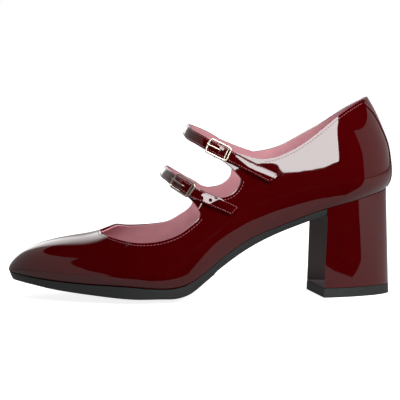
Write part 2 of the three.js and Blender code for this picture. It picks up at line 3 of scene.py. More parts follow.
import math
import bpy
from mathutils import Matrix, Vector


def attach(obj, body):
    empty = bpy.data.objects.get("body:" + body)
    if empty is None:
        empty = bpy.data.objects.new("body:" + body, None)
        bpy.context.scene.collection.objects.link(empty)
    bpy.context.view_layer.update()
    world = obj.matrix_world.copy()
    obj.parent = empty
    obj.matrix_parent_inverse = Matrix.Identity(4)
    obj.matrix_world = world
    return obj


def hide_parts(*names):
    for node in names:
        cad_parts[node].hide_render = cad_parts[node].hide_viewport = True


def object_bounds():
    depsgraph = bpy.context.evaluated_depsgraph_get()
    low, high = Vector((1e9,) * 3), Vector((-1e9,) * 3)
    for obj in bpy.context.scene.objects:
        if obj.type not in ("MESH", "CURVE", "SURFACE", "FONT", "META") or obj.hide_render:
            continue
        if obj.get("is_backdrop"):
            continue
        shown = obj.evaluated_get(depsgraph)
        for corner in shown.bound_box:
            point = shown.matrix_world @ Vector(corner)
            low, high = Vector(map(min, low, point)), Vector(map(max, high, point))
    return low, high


bl_info = {
    "name": "Patent Mary Jane",
    "version": (1, 0, 0),
    "blender": (4, 5, 0),
    "location": "3D View > Sidebar > Shoe",
    "description": "Makes the skin, trim, buckles, sole and heel of one patent leather mary jane",
    "category": "Add Mesh",
}

import bmesh
import bpy
import numpy as np
from bpy.props import FloatProperty, PointerProperty, StringProperty
from mathutils import Vector

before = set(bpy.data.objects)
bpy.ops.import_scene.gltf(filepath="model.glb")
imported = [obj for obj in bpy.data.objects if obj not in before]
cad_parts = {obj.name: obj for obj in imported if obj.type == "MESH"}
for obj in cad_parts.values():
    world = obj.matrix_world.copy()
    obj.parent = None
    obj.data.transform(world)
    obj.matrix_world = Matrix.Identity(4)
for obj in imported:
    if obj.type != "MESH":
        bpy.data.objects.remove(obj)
CAD_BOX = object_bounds()

# ---- sizes of the last, in millimetres; the same tables as the solids ------------------------
BACK_X, TOE_X = -121.5, 119.0
WALL, GAP, INSOLE, TOP_PIECE = 2.0, 0.3, 2.0, 5.8
STRAP_WIDE, STRAP_THICK, STRAP_CUT = 7.0, 1.6, 2.6
# Buckle: outside length and width, heights of the loop and the centre bar over the band, radii of
# the wire, the prong and the loop's corners, and how far inside the free end the second bar lies.
FRAME_LONG, FRAME_WIDE, FRAME_HIGH, BAR_HIGH = 15.4, 10.0, 3.6, 1.0
WIRE, PRONG, CORNER, SECOND_BAR = 0.6, 0.42, 1.7, 1.75
SOLE_EDGE = 0.8
BREAST_LATERAL, BREAST_MEDIAL = -78.0, -74.8
THROAT_TIP = 62.6             # the foremost point of the throat, on the ridge
CENTRE = np.array([-2.26, 4.42, 0.0])


def table(names, rows):
    """Rows of numbers as named columns."""
    return {name: np.array(column, float) for name, column in zip(names.split(), zip(*rows))}


PLAN = table("x ridge lateral medial", [
    (-121.5, -8.5, -8.5, -8.5), (-105, -6.2, 18.8, -31.2), (-85, -3.4, 26.8, -33.6),
    (-62, -0.2, 29.1, -29.5), (-38, 3.0, 31.5, -25.5), (-12, 5.0, 37.0, -26.0),
    (12, 5.5, 42.0, -29.0), (36, 4.5, 44.5, -33.0), (58, 2.5, 41.0, -36.0), (78, -1.5, 32.0, -35.0),
    (96, -5.5, 21.0, -32.0), (108, -7.9, 10.7, -26.5), (115, -9.2, 1.3, -19.7), (119, -9.8, -9.8, -9.8)])
FEATHER = table("x z", [
    (-121.5, 67), (-110, 64.1), (-99, 61.4), (-78, 56.4), (-62, 51.3), (-48, 46.1), (-34, 40.9),
    (-26, 37.2), (-18, 32.4), (-10, 26.8), (-2, 20.4), (6, 14.8), (14, 10.9), (23, 9.4), (36, 9.9),
    (53, 11.3), (72, 12), (98, 13.7), (108, 14.9), (119, 16.7)])
RIDGE = table("x z", [
    (-121.5, 132.5), (-85, 134.5), (-60, 136.5), (-38, 137.5), (-20, 135.6), (-8, 129.6), (0, 120.6),
    (9, 105.1), (16, 91.1), (25, 77.1), (36, 62.1), (50, 48.2), (63, 42.1), (78, 39.1), (96, 35.1),
    (105, 31.7), (110, 28.9), (114.5, 25), (119, 16.7)])
SECTION = table("x across side tuck tuck_high", [
    (-121.5, 2, 2.15, 4.5, 15), (-85, 2, 2.15, 4.5, 15), (-50, 2, 2.1, 4.4, 20), (-12, 2.2, 2.1, 4.1, 19),
    (20, 2.4, 2.3, 3.2, 12.5), (50, 2.3, 2.1, 2.6, 9), (80, 2.25, 1.95, 2.4, 8), (119, 2.2, 2, 2.2, 7)])
BACK = table("high forward", [
    (0, 1), (3.4, -0.9), (9, -2), (18.7, -1.3), (27.7, 0.3), (36.7, 3.6), (48.7, 9), (56.7, 13.6),
    (72.7, 24)])
UNDERSIDE = table("x edge crown", [
    (-80, 53.4, 0.8), (-66, 48.5, 1), (-48, 41.9, 1.4), (-32, 34.4, 1.6), (-16, 24.6, 1.8),
    (-7, 18.1, 2.2), (1, 12, 2.8), (8, 6.7, 3.6), (15, 3.8, 4.2), (24, 3.3, 4.2), (41, 3.3, 4.2),
    (64, 5, 3.8), (95, 8.3, 2.6), (110, 10.6, 1.6), (119, 11.9, 0.6)])
DISH = table("x deep", [(-122, 1.6), (-60, 1.4), (-20, 1.6), (20, 3.0), (70, 3.0), (119, 0.4)])
# Openings: side is 1 on the outer, buckle side of the foot and -1 on the inner side.
TOPLINE = table("side x z", [
    (1, -35, 87.7), (1, -42.1, 88.2), (1, -51.1, 91.1), (1, -60.9, 96.1), (1, -72, 103.7),
    (1, -83.4, 112), (1, -100.3, 121.2), (1, -121.5, 124.3), (-1, -102, 120.5), (-1, -90, 112.3),
    (-1, -79.3, 105.3), (-1, -68.2, 99.5), (-1, -53.3, 92.3), (-1, -45.9, 90.3), (-1, -38, 89.2)])
THROAT = table("side x z", [
    (1, 3.7, 55.3), (1, 4.4, 52.7), (1, 7.6, 49.4), (1, 13.2, 45.1), (1, 21.1, 41), (1, 28.9, 38.7),
    (1, 36.6, 37.7), (1, 44.1, 37.6), (1, 50.5, 38.4), (1, 56.3, 39.6), (0, THROAT_TIP, 0), (-1, 54.8, 44.4),
    (-1, 45.1, 43.6), (-1, 31.6, 43.1), (-1, 23.2, 43.8), (-1, 14.9, 45.9), (-1, 9, 49.4),
    (-1, 4.6, 52.4), (-1, 1.9, 55.4)])
GAP_LATERAL = table("side x z", [
    (1, -22.3, 76), (1, -21.8, 73.1), (1, -20.3, 70.3), (1, -17.2, 67.2), (1, -12.3, 65), (1, -9, 64.6)])
GAP_MEDIAL = table("side x z", [
    (-1, -23.6, 78.6), (-1, -22.8, 74.1), (-1, -18.9, 69.7), (-1, -13.4, 67.3), (-1, -9.5, 66.7)])
# Middle line of each strap, from its seam on the inner side over the foot to its free end.
STRAP_UPPER = table("side x z lift", [
    (-1, -13.5, 94.8, -1.6), (-1, -7, 98.8, -1.6), (-1, 1.5, 102.7, -1.6), (0, 9.2, 0, -1.6),
    (1, 4.5, 100.7, -1.2), (1, -1.2, 96.8, 0.8), (1, -7.6, 93.2, 1.95), (1, -14.4, 89.8, 0.8),
    (1, -21, 86.5, 0.4), (1, -30, 82.1, 0.4), (1, -44.2, 75.0, 0.4)])
STRAP_LOWER = table("side x z lift", [
    (-1, 1, 67.3, -1.6), (-1, 8, 71.1, -1.6), (-1, 16, 75.9, -1.6), (0, 23.4, 0, -1.6),
    (1, 21.8, 77.7, -1.2), (1, 18.4, 74.8, 0.8), (1, 13.4, 71.4, 1.95), (1, 8, 67.9, 0.8),
    (1, 3, 65.5, 0.4), (1, -5, 62.1, 0.4), (1, -19.0, 55.8, 0.4)])
BUCKLE_ROW = 6


# ---- the form of the last ---------------------------------------------------------------------
def spline(xs, ys):
    """Natural cubic through the points: zero bend at both ends; takes and gives arrays."""
    xs, ys = np.asarray(xs, float), np.asarray(ys, float)
    h, n = np.diff(xs), len(xs)
    a = np.eye(n)
    r = np.zeros(n)
    for i in range(1, n - 1):
        a[i, i - 1:i + 2] = h[i - 1], 2 * (h[i - 1] + h[i]), h[i]
        r[i] = 6 * ((ys[i + 1] - ys[i]) / h[i] - (ys[i] - ys[i - 1]) / h[i - 1])
    m = np.linalg.solve(a, r)

    def at(x):
        x = np.asarray(x, float)
        i = np.clip(np.searchsorted(xs, x, "left") - 1, 0, n - 2)
        u = (xs[i + 1] - x) / h[i]
        v = 1 - u
        return u * ys[i] + v * ys[i + 1] + ((u ** 3 - u) * m[i] + (v ** 3 - v) * m[i + 1]) * h[i] ** 2 / 6

    return at


def mix(a, b, k):
    return a + (b - a) * k


def share(x):
    """Station share of a length position: half a cosine, so that both round ends get fine steps."""
    return np.arccos(1 - 2 * np.clip((x - BACK_X) / (TOE_X - BACK_X), 0, 1)) / math.pi


def station(s):
    return BACK_X + (TOE_X - BACK_X) * (1 - np.cos(math.pi * np.clip(s, 0, 1))) / 2


ridge_y, lateral_y, medial_y = (spline(share(PLAN["x"]), PLAN[k]) for k in ("ridge", "lateral", "medial"))
across, sideways, tuck, tuck_high = (
    spline(share(SECTION["x"]), SECTION[k]) for k in ("across", "side", "tuck", "tuck_high"))
ridge_z = spline(share(RIDGE["x"]), RIDGE["z"])
feather_z = spline(FEATHER["x"], FEATHER["z"])
back_forward = spline(BACK["high"], BACK["forward"])
under_edge, under_crown = (spline(UNDERSIDE["x"], UNDERSIDE[k]) for k in ("edge", "crown"))
dish = spline(DISH["x"], DISH["deep"])


def fade(s):
    """The lean of the back seam dies out along the quarters."""
    return np.maximum(0, 1 - (s / 0.46) ** 2) ** 2


def surface(s, a):
    """Outside of the leather at station share s and angle a: 0 is the outer feather, a quarter turn
    the ridge, a half turn the inner feather. Across, width times the cosine to a power; up, height
    times the sine to a power; near the feather the wall tucks under; at the back it leans."""
    s, a = np.broadcast_arrays(np.asarray(s, float), np.asarray(a, float))
    x, cos = station(s), np.cos(a)
    side = np.where(cos < 0, -1.0, 1.0)
    wide = np.maximum(0, np.where(side > 0, lateral_y(s) - ridge_y(s), ridge_y(s) - medial_y(s)))
    low = feather_z(x)
    high = np.maximum(0, ridge_z(s) - low)
    up = high * np.maximum(0, np.sin(a)) ** (2 / sideways(s))
    out = wide * np.abs(cos) ** (2 / across(s))
    reach = np.maximum(1e-6, np.minimum(tuck_high(s), 0.5 * high))
    under = tuck(s) * np.minimum(1, wide / 26) * np.maximum(0, 1 - up / reach) ** 2
    return np.stack([x + back_forward(up) * fade(s),
                     ridge_y(s) + side * (out - np.minimum(under, out)), low + up], -1)


def unit(v):
    return v / np.maximum(1e-12, np.linalg.norm(v, axis=-1, keepdims=True))


def normal(s, a):
    """Outward direction of the leather: the cross product of its two slopes."""
    e = 1e-3
    s, a = np.broadcast_arrays(np.asarray(s, float), np.asarray(a, float))

    def one(b):
        b0, b1 = np.clip(b - e, 0, math.pi), np.clip(b + e, 0, math.pi)
        ds = surface(np.minimum(1, s + e), b) - surface(np.maximum(0, s - e), b)
        da = surface(np.maximum(s, 1e-4), b1) - surface(np.maximum(s, 1e-4), b0)
        return unit(np.cross(da, ds))

    n = one(a)
    n = np.where((s < e)[..., None], unit(n + one(math.pi - a)), n)
    return np.where((s > 1 - e)[..., None], np.array([1.0, 0, 0]), n)


def leather(s, a, sink):
    """The surface moved inwards by sink; the feather edge moves level."""
    s, a = np.broadcast_arrays(np.asarray(s, float), np.asarray(a, float))
    n = normal(s, np.clip(a, 0.02, math.pi - 0.02))
    n = n * np.stack([np.ones_like(a), np.ones_like(a),
                      np.clip(np.minimum(a, math.pi - a) / 0.12, 0, 1)], -1)
    return surface(s, a) - unit(n) * np.asarray(sink)[..., None]


def angle_at(side, x, z):
    """Angle of the point of a side wall at height z."""
    s, low = share(x), feather_z(x)
    a = np.arcsin(np.clip((z - low) / (ridge_z(s) - low), 0, 1) ** (sideways(s) / 2))
    a = np.where(np.asarray(side) < 0, math.pi - a, a)
    return np.where(np.asarray(side) == 0, math.pi / 2, a)


def curve(rows):
    """Curve through points of the surface: splines of x and angle over the chord length."""
    x, a = rows["x"], angle_at(rows["side"], rows["x"], rows["z"])
    where = surface(share(x), a)
    run = np.concatenate([[0], np.cumsum(np.linalg.norm(np.diff(where, axis=0), axis=1))])
    return run, spline(run, x), spline(run, a)


# ---- meshes -----------------------------------------------------------------------------------
def quads(nu, nv, close_u=False, close_v=False):
    """Corner indices of the quads of a grid of nu by nv points, closed on itself where asked."""
    i, j = np.meshgrid(np.arange(nu if close_u else nu - 1), np.arange(nv if close_v else nv - 1),
                       indexing="ij")
    a, b = i * nv + j, (i + 1) % nu * nv + j
    c, d = (i + 1) % nu * nv + (j + 1) % nv, i * nv + (j + 1) % nv
    return np.stack([a, b, c, d], -1).reshape(-1, 4)


def make(name, grids, material, merge=0.0, outward=None):
    """One mesh object from several grids of points in millimetres of the last's own axes. Each is
    (points of nu by nv by 3, close_u, close_v); coincident points are merged."""
    points, faces, start = [], [], 0
    for grid, close_u, close_v in grids:
        nu, nv = grid.shape[:2]
        points.append(grid.reshape(-1, 3))
        faces.append(quads(nu, nv, close_u, close_v) + start)
        start += nu * nv
    co = (np.concatenate(points) - CENTRE) / 1000
    mesh = bpy.data.meshes.new(name)
    mesh.from_pydata(co.tolist(), [], np.concatenate(faces).tolist())
    bm = bmesh.new()
    bm.from_mesh(mesh)
    if merge:
        bmesh.ops.remove_doubles(bm, verts=bm.verts, dist=merge / 1000)
        bmesh.ops.dissolve_degenerate(bm, edges=bm.edges, dist=merge / 4000)
    bmesh.ops.recalc_face_normals(bm, faces=bm.faces)
    if outward is not None:
        # an open skin: turned over when its faces look away from the given side
        score = sum((f.calc_center_median() - Vector(outward)).dot(f.normal) for f in bm.faces)
        if score < 0:
            bmesh.ops.reverse_faces(bm, faces=bm.faces)
    for f in bm.faces:
        f.smooth = True
    bm.to_mesh(mesh)
    bm.free()
    obj = bpy.data.objects.new(name, mesh)
    bpy.context.scene.collection.objects.link(obj)
    obj.data.materials.append(material)
    return obj


def thicken(obj, millimetres, bevel=0.0, segments=3):
    """Gives a skin its wall inwards, then rounds the cut edge."""
    wall = obj.modifiers.new("wall", "SOLIDIFY")
    wall.thickness, wall.offset = millimetres / 1000, -1
    if bevel:
        soften(obj, bevel, segments)


def soften(obj, millimetres, segments=3, degrees=40):
    """Rounds the edges sharper than the angle."""
    edge = obj.modifiers.new("edge", "BEVEL")
    edge.width, edge.segments, edge.limit_method = millimetres / 1000, segments, "ANGLE"
    edge.angle_limit, edge.harden_normals = math.radians(degrees), True


def sweep(path, section_a, section_b, out, side):
    """A profile carried along a path: each path point plus a along out plus b along side."""
    return path[:, None] + section_a[None, :, None] * out[:, None] + section_b[None, :, None] * side[:, None]


def block(f, ni, nj, nk):
    """The six faces of a solid block, each a grid of the mapping f over two of its parameters."""
    i, j, k = (np.linspace(0, 1, n + 1) for n in (ni, nj, nk))

    def face(a, b, fixed, which):
        p, q = np.meshgrid(a, b, indexing="ij")
        r = np.full_like(p, fixed)
        return f(*{"k": (p, q, r), "j": (p, r, q), "i": (r, p, q)}[which])

    return [(face(a, b, fixed, which), False, False)
            for a, b, which in ((i, j, "k"), (i, k, "j"), (j, k, "i")) for fixed in (0.0, 1.0)]


def capsules(name, at, along, out, pitch, long, wide, high, material):
    """A row of stitches: along a path, one small closed capsule every pitch, half sunk in the
    leather. Each is an ellipse section whose size follows a flattened half circle along its length."""
    run = np.concatenate([[0], np.cumsum(np.linalg.norm(np.diff(at, axis=0), axis=1))])
    d = np.arange(pitch / 2, run[-1], pitch)
    pick = lambda v: np.stack([np.interp(d, run, v[:, c]) for c in range(3)], -1)
    o, t, n = pick(at), unit(pick(along)), unit(pick(out))
    b = np.cross(t, n)
    u, w = np.linspace(-1, 1, 7), np.arange(6) * math.tau / 6
    r = np.sqrt(np.maximum(0, 1 - np.abs(u) ** 3))
    local = np.stack(np.broadcast_arrays(
        (u * long / 2)[:, None], (r[:, None] * np.cos(w)) * wide / 2, (r[:, None] * np.sin(w)) * high), -1)
    points = (o[:, None, None] + local[None, ..., 0:1] * t[:, None, None]
              + local[None, ..., 1:2] * b[:, None, None] + local[None, ..., 2:3] * n[:, None, None])
    return make(name, [(p, False, True) for p in points], material, merge=0.01)


# Stitches in mm: pitch, length, width and height of the thread above the leather.
STRIP_SEAM, STRAP_SEAM = (2.1, 1.65, 0.36, 0.14), (1.7, 1.25, 0.42, 0.17)


# ---- openings and straps as curves on the last ------------------------------------------------
def topline_heights():
    """Height of the topline over the signed station share; the shares allow for the back's lean."""
    x, z = TOPLINE["x"], TOPLINE["z"]
    s = share(x)
    for _ in range(20):
        s = mix(s, share(x - back_forward(z - feather_z(station(s))) * fade(s)), 0.6)
    s[x == BACK_X] = 0
    return spline((TOPLINE["side"] * s)[::-1], z[::-1])


topline_z = topline_heights()
THROAT_RUN, throat_x, throat_a = curve(THROAT)
THROAT_FRONT = THROAT_RUN[int(np.argmax(THROAT["side"] == 0))]


def side_edge(side, steps=(90, 12, 36, 12, 90, 70)):
    """Edge of one side of the upper from the back seam to the toe, as shares and angles, with the
    places of its two necks, where the ears begin: topline, neck, gap, neck, throat, ridge."""
    rows = GAP_LATERAL if side > 0 else GAP_MEDIAL
    pick = 0 if side > 0 else -1
    start_x, start_z = TOPLINE["x"][pick], TOPLINE["z"][pick]
    n1, n2, n3, n4, n5, n6 = steps
    s1 = share(start_x) * np.linspace(0, 1, n1 + 1)
    parts = [(s1, angle_at(side, station(s1), topline_z(side * s1)))]
    k = np.linspace(0, 1, n2 + 1)[1:]
    x, z = mix(start_x, rows["x"][0], k), mix(start_z, rows["z"][0], k)
    parts.append((share(x), angle_at(side, x, z)))
    run, gx, ga = curve(rows)
    d = run[-1] * np.linspace(0, 1, n3 + 1)[1:]
    parts.append((share(gx(d)), ga(d)))
    k = np.linspace(0, 1, n4 + 1)[1:]
    x, z = mix(rows["x"][-1], THROAT["x"][pick], k), mix(rows["z"][-1], THROAT["z"][pick], k)
    parts.append((share(x), angle_at(side, x, z)))
    k = 1 - (1 - np.linspace(0, 1, n5 + 1)[1:]) ** 1.15
    d = THROAT_FRONT * k if side > 0 else mix(THROAT_RUN[-1], THROAT_FRONT, k)
    a = throat_a(d)
    a[-1] = math.pi / 2
    parts.append((share(throat_x(d)), a))
    front = share(np.array(THROAT_TIP))
    parts.append((mix(front, 1, np.linspace(0, 1, n6 + 1)[1:]), np.full(n6, math.pi / 2)))
    s, a = (np.concatenate([p[i] for p in parts]) for i in (0, 1))
    s[:-n6] = np.minimum(s[:-n6], front)
    return s, a, ((n1, n1 + n2), (n1 + n2 + n3, n1 + n2 + n3 + n4))


class Strap:
    """A band along a curve on the last: at each distance a point, its direction, outward and across."""

    def __init__(self, rows):
        self.run, self.x, self.a = curve(rows)
        self.total, self.lift = self.run[-1], spline(self.run, rows["lift"])
        self.buckle = self.run[BUCKLE_ROW]

    def point(self, d):
        return surface(share(self.x(d)), self.a(d))

    def frame(self, d):
        d = np.asarray(d, float)
        n = normal(share(self.x(d)), self.a(d))
        t = self.point(np.minimum(self.total, d + 0.5)) - self.point(np.maximum(0, d - 0.5))
        t = unit(t - np.sum(t * n, -1, keepdims=True) * n)
        return self.point(d), t, n, unit(np.cross(t, n))

    def end(self, side):
        """Length of the band at a place across it, from -1 to 1: the free end is cut at a slant."""
        return self.total - STRAP_CUT * (side + 1) / 2


STRAPS = {"upper": Strap(STRAP_UPPER), "lower": Strap(STRAP_LOWER)}


# Bow of each tongue's top and low edge along x and up, by the side of the foot: upper, then lower.
EAR_BOWS = {1: (((0, -1.0), (-1.0, 0.8)), ((0, -1.6), (-1.4, 0.2))),
            -1: (((0, -1.0), (-0.4, 0.6)), ((0, -1.4), (-0.9, 0.2)))}


def ears(side, s, a, necks):
    """The two tongues of one side: from each neck of the edge towards the strap or the buckle,
    straight between the neck and the tip line with a slight bow."""
    grids = []
    for (first, last), (bow_x, bow_z), one in zip(necks, EAR_BOWS[side], STRAPS.values()):
        d = one.buckle + 0.2 if side > 0 else 0.0
        o, t, n, b = one.frame(d)
        back = 0.0 if side > 0 else -GAP
        tips = [o + b * w * STRAP_WIDE / 2 + t * back for w in (1, -1)]
        top, low = sorted(tips, key=lambda p: -p[2])
        es, ea = s[first:last + 1], a[first:last + 1]
        z0 = surface(es, ea)[:, 2]
        k = np.linspace(0, 1, last - first + 1)[:, None]
        q = np.linspace(0, 1, 27)[None, :]
        arch = 4 * q * (1 - q)
        x = mix(station(es)[:, None], mix(top[0], low[0], k), q) + mix(bow_x[0], bow_x[1], k) * arch
        z = mix(z0[:, None], mix(top[2], low[2], k), q) + mix(bow_z[0], bow_z[1], k) * arch
        gs, ga = share(x), angle_at(side, x, z)
        gs[:, 0], ga[:, 0] = es, ea
        grids.append((gs, ga))
    return grids


# Soft folds pressed in: a trough (depth below 0) or ridge lies along the leather, turned
# from level by so many degrees.
FOLDS = table("side x z long wide turn deep", [
    (1, -30, 70, 16, 5, -35, -0.35), (1, -2, 57, 12, 4, -60, -0.25), (1, 52, 25, 14, 7, 60, -0.1),
    (1, 62, 27, 12, 7, 70, 0.05), (-1, -30, 70, 16, 5, 35, -0.35), (-1, 0, 50, 12, 4, 60, -0.25),
    (-1, 48, 26, 14, 6, 120, -0.3), (1, -85, 90, 22, 9, 70, 0.2), (-1, -85, 90, 22, 9, 110, 0.2)])


def pressed(s, a, sink=0.0):
    """The leather with its folds: each moves the skin along its normal by depth times a bell of the
    distance along and across the fold."""
    p = leather(s, a, np.full(np.shape(s), float(sink)))
    side = np.where(np.cos(a) < 0, -1, 1)
    move = np.zeros(p.shape[:-1])
    for i in range(len(FOLDS["x"])):
        f = {k: v[i] for k, v in FOLDS.items()}
        c, w = math.cos(math.radians(f["turn"])), math.sin(math.radians(f["turn"]))
        dx, dz = p[..., 0] - f["x"], p[..., 2] - f["z"]
        u, v = dx * c + dz * w, -dx * w + dz * c
        move += (side == f["side"]) * f["deep"] * np.exp(-(u / f["long"]) ** 2 - (v / f["wide"]) ** 2)
    return p + normal(s, np.clip(a, 0.02, math.pi - 0.02)) * move[..., None]


def evened(s, reach=16):
    """The same run of shares with its steps evened out by a bell-shaped average, both ends kept, so
    that columns which crowd at an opening's edge spread towards the feather."""
    k = np.arange(-3 * reach, 3 * reach + 1)
    w = np.exp(-0.5 * (k / reach) ** 2)
    long = np.concatenate([2 * s[0] - s[3 * reach:0:-1], s, 2 * s[-1] - s[-2:-3 * reach - 2:-1]])
    return np.convolve(long, w / w.sum(), "valid")


def upper_grids(sink, rows=56):
    """Both sides and their four ears as grids of points. Rows run from the feather to the edge and
    stand closer together at the feather."""
    grids = []
    for side in (1, -1):
        s, a, necks = side_edge(side)
        foot = 0.0 if side > 0 else math.pi
        t = np.linspace(0, 1, rows) ** 1.6
        base = evened(s)
        wall = (mix(base[:, None], s[:, None], t), mix(foot, a[:, None], t))
        for gs, ga in (wall, *ears(side, s, a, necks)):
            grids.append((pressed(gs, ga, sink), False, False))
    return grids


def inset(s, a, down, away=0.05):
    """Points and outward directions of a line that runs along an edge, so far inside it: each edge
    point moves down the leather, square to the edge."""
    p, n = surface(s, a), normal(s, np.clip(a, 0.02, math.pi - 0.02))
    t = unit(np.gradient(p, axis=0))
    b = unit(np.cross(t, n))
    b = np.where(b[:, 2:] > 0, -b, b)
    e = 2e-3
    ds = (surface(s + e, a) - surface(s - e, a)) / (2 * e)
    da = (surface(s, a + e) - surface(s, a - e)) / (2 * e)
    g11, g12, g22 = (ds * ds).sum(-1), (ds * da).sum(-1), (da * da).sum(-1)
    r1, r2 = (b * ds).sum(-1), (b * da).sum(-1)
    det = np.maximum(1e-9, g11 * g22 - g12 * g12)
    s2, a2 = s + down * (r1 * g22 - r2 * g12) / det, a + down * (r2 * g11 - r1 * g12) / det
    n2 = normal(s2, a2)
    return pressed(s2, a2) + n2 * away, unit(np.gradient(surface(s2, a2), axis=0)), n2


# Half width of the strip over the back seam, by its share of the height from seat to topline; how far
# it stands off the leather, and how far inside its edge the seam runs.
STRIP = table("up half", [(0, 4.4), (0.2, 5.0), (0.4, 6.0), (0.6, 7.2), (0.8, 9.0), (0.92, 11.0), (1, 12.4)])
STRIP_PROUD, STRIP_SEAM_IN = 0.55, 1.2


def strip_place(v, across):
    """Share and angle on the back strip: v up the seam, across from -1 to 1. The share that lies
    the strip's half width off the seam is found by halving."""
    side = np.where(across < 0, -1, 1)
    want = np.abs(across) * np.interp(v, STRIP["up"], STRIP["half"])
    lo, hi = np.zeros_like(want), np.full_like(want, 0.3)

    def angle(s):
        top = angle_at(side, station(s), topline_z(side * s))
        return mix(np.where(side > 0, 0.0, math.pi), top, v ** 1.3)

    for _ in range(26):
        mid = (lo + hi) / 2
        p = surface(mid, angle(mid))
        far = np.abs(p[..., 1] - ridge_y(0.0)) > want
        lo, hi = np.where(far, lo, mid), np.where(far, mid, hi)
    return lo, angle(lo)


# ---- sole, insole and heel ---------------------------------------------------------------------
def floor_at(s, v, x):
    """Inside floor: the feather line, dished across the foot."""
    return feather_z(x) - dish(x) * np.minimum(1, np.sin(math.pi * s) * 1.6) * (1 - v * v)


def plate(start, end, sink, heights):
    """A block under the foot: along, from start to end on both sides; across, straight between the
    outlines; its height from a function of place."""

    def f(i, j, k):
        outer = mix(share(start[0]), share(end[0]), i)
        inner = mix(share(start[1]), share(end[1]), i)
        a, b = leather(outer, 0 * outer, sink(outer, k)), leather(inner, 0 * inner + math.pi, sink(inner, k))
        p = b + (a - b) * j[..., None]
        low, high = heights(mix(inner, outer, j), j * 2 - 1, p[..., 0])
        p[..., 2] = mix(low, high, k)
        return p

    return f


def smooth(k):
    k = np.clip(k, 0, 1)
    return k * k * (3 - 2 * k)


def sole_edge(s, k):
    """How far the sole's side is inside the feather line: it stands out at the tread and is
    bevelled inwards to the bottom."""
    out = mix(-SOLE_EDGE * np.clip((station(s) - 2) / 16, 0, 1), 0.9, np.clip((s - 0.86) / 0.14, 0, 1) ** 2)
    return out + (1 - k) ** 1.5 * mix(0.7, 2.2, np.clip((s - 0.75) / 0.25, 0, 1) ** 2)


def sole_heights(s, v, x):
    """Underside: the edge line less a crown across; the tread ends in a small step at the waist."""
    crown = under_crown(x) * np.minimum(1, 5 * (1 - s))
    bottom = under_edge(x) - crown * (1 - np.abs(v) ** 1.35)
    bottom = bottom + 0.8 * smooth((-5.5 - x) / 1.2) * smooth((x + 60) / 50)
    top = floor_at(s, v, x) - GAP - 0.1
    return np.minimum(np.maximum(0, bottom), top - 1.2), top


def heel_point(low, high, follows, flare, inset_mm=0.0):
    """The block of the heel: outline of the seat, drawn in towards the floor by a power of height. Its
    top is level at high when follows is 0, and else lies follows times the gap below the seat."""

    def f(i, j, k):
        outer, inner = (mix(0, share(np.array(x - GAP - inset_mm)), i)
                        for x in (BREAST_LATERAL, BREAST_MEDIAL))
        a = leather(outer, 0 * outer, 0 * outer + inset_mm)
        b = leather(inner, 0 * inner + math.pi, 0 * inner + inset_mm)
        p = b + (a - b) * j[..., None]
        seat = floor_at(mix(inner, outer, j), j * 2 - 1, p[..., 0]) - GAP * follows
        z = mix(low, seat if follows else high, k)
        h = np.clip(z / 60, 0, 1)
        cx, cy = -97, -5
        y = mix(0.91, 1, h ** 1.6) + flare
        x = np.where(p[..., 0] < cx, mix(1.08, 1, h), mix(1.09, 1, np.minimum(1, h / 0.8)))
        return np.stack([cx + (p[..., 0] - cx) * x, cy + (p[..., 1] - cy) * y, z], -1)

    return f


# ---- buckles ------------------------------------------------------------------------------------
def ring(path, half_a, half_b, out, closed=True, sides=20):
    """A wire: an oval carried along a path, half_a in the plane of the path and half_b along out."""
    t = np.roll(path, -1, 0) - np.roll(path, 1, 0) if closed else np.gradient(path, axis=0)
    side = unit(np.cross(unit(t), out))
    up = unit(np.cross(side, unit(t)))
    w = np.arange(sides) * math.tau / sides
    grid = sweep(path, half_b * np.sin(w), half_a * np.cos(w), up, side)
    if not closed:
        first, last = (path[end] + 0 * grid[end] for end in (0, -1))
        grid = np.concatenate([first[None], grid, last[None]])
    return grid, closed, True


def buckle_axes(one):
    """A buckle's own axes at its middle: a function of along, across and high, and the way out."""
    o, t, n, b = one.frame(np.array(one.buckle))

    def at(along, across, high):
        return o + sum(np.multiply.outer(np.asarray(v, float), w)
                       for v, w in ((along, t), (across, b), (high, n)))

    return at, n


def bent(points, steps=60):
    """Even steps along a bent line, straight between the given points."""
    k = np.linspace(0, len(points) - 1, steps)
    return (np.interp(k, np.arange(len(points)), column) for column in zip(*points))


def rounded(long, wide, radius, steps=10):
    """Middle line of a rectangle with round corners."""
    w = np.linspace(0, math.pi / 2, steps)
    x, y = [], []
    for cx, cy, turn in ((1, 1, 0), (-1, 1, 1), (-1, -1, 2), (1, -1, 3)):
        x.append(cx * (long / 2 - radius) + radius * np.cos(w + turn * math.pi / 2))
        y.append(cy * (wide / 2 - radius) + radius * np.sin(w + turn * math.pi / 2))
    return np.concatenate(x), np.concatenate(y)


# ---- materials ----------------------------------------------------------------------------------
def linear(code, alpha=1.0):
    """An sRGB hex colour as linear numbers."""
    c = np.array([int(code[i:i + 2], 16) / 255 for i in (0, 2, 4)])
    c = np.where(c <= 0.04045, c / 12.92, ((c + 0.055) / 1.055) ** 2.4)
    return (*c.tolist(), alpha)


def node(tree, kind, links=(), **settings):
    """Adds a shader node, sets its attributes or else inputs by name, and links each (output, input)."""
    made = tree.nodes.new("ShaderNode" + kind)
    for key, value in settings.items():
        if hasattr(made, key):
            setattr(made, key, value)
        else:
            made.inputs[key.replace("_", " ")].default_value = value
    for source, target in links:
        tree.links.new(source, made.inputs[target])
    return made


def maths(tree, operation, *terms):
    """Adds a Math node of numbers and outputs; gives its output."""
    links = [(term, i) for i, term in enumerate(terms) if not isinstance(term, float)]
    made = node(tree, "Math", links, operation=operation)
    for i, term in enumerate(terms):
        if isinstance(term, float):
            made.inputs[i].default_value = term
    return made.outputs[0]


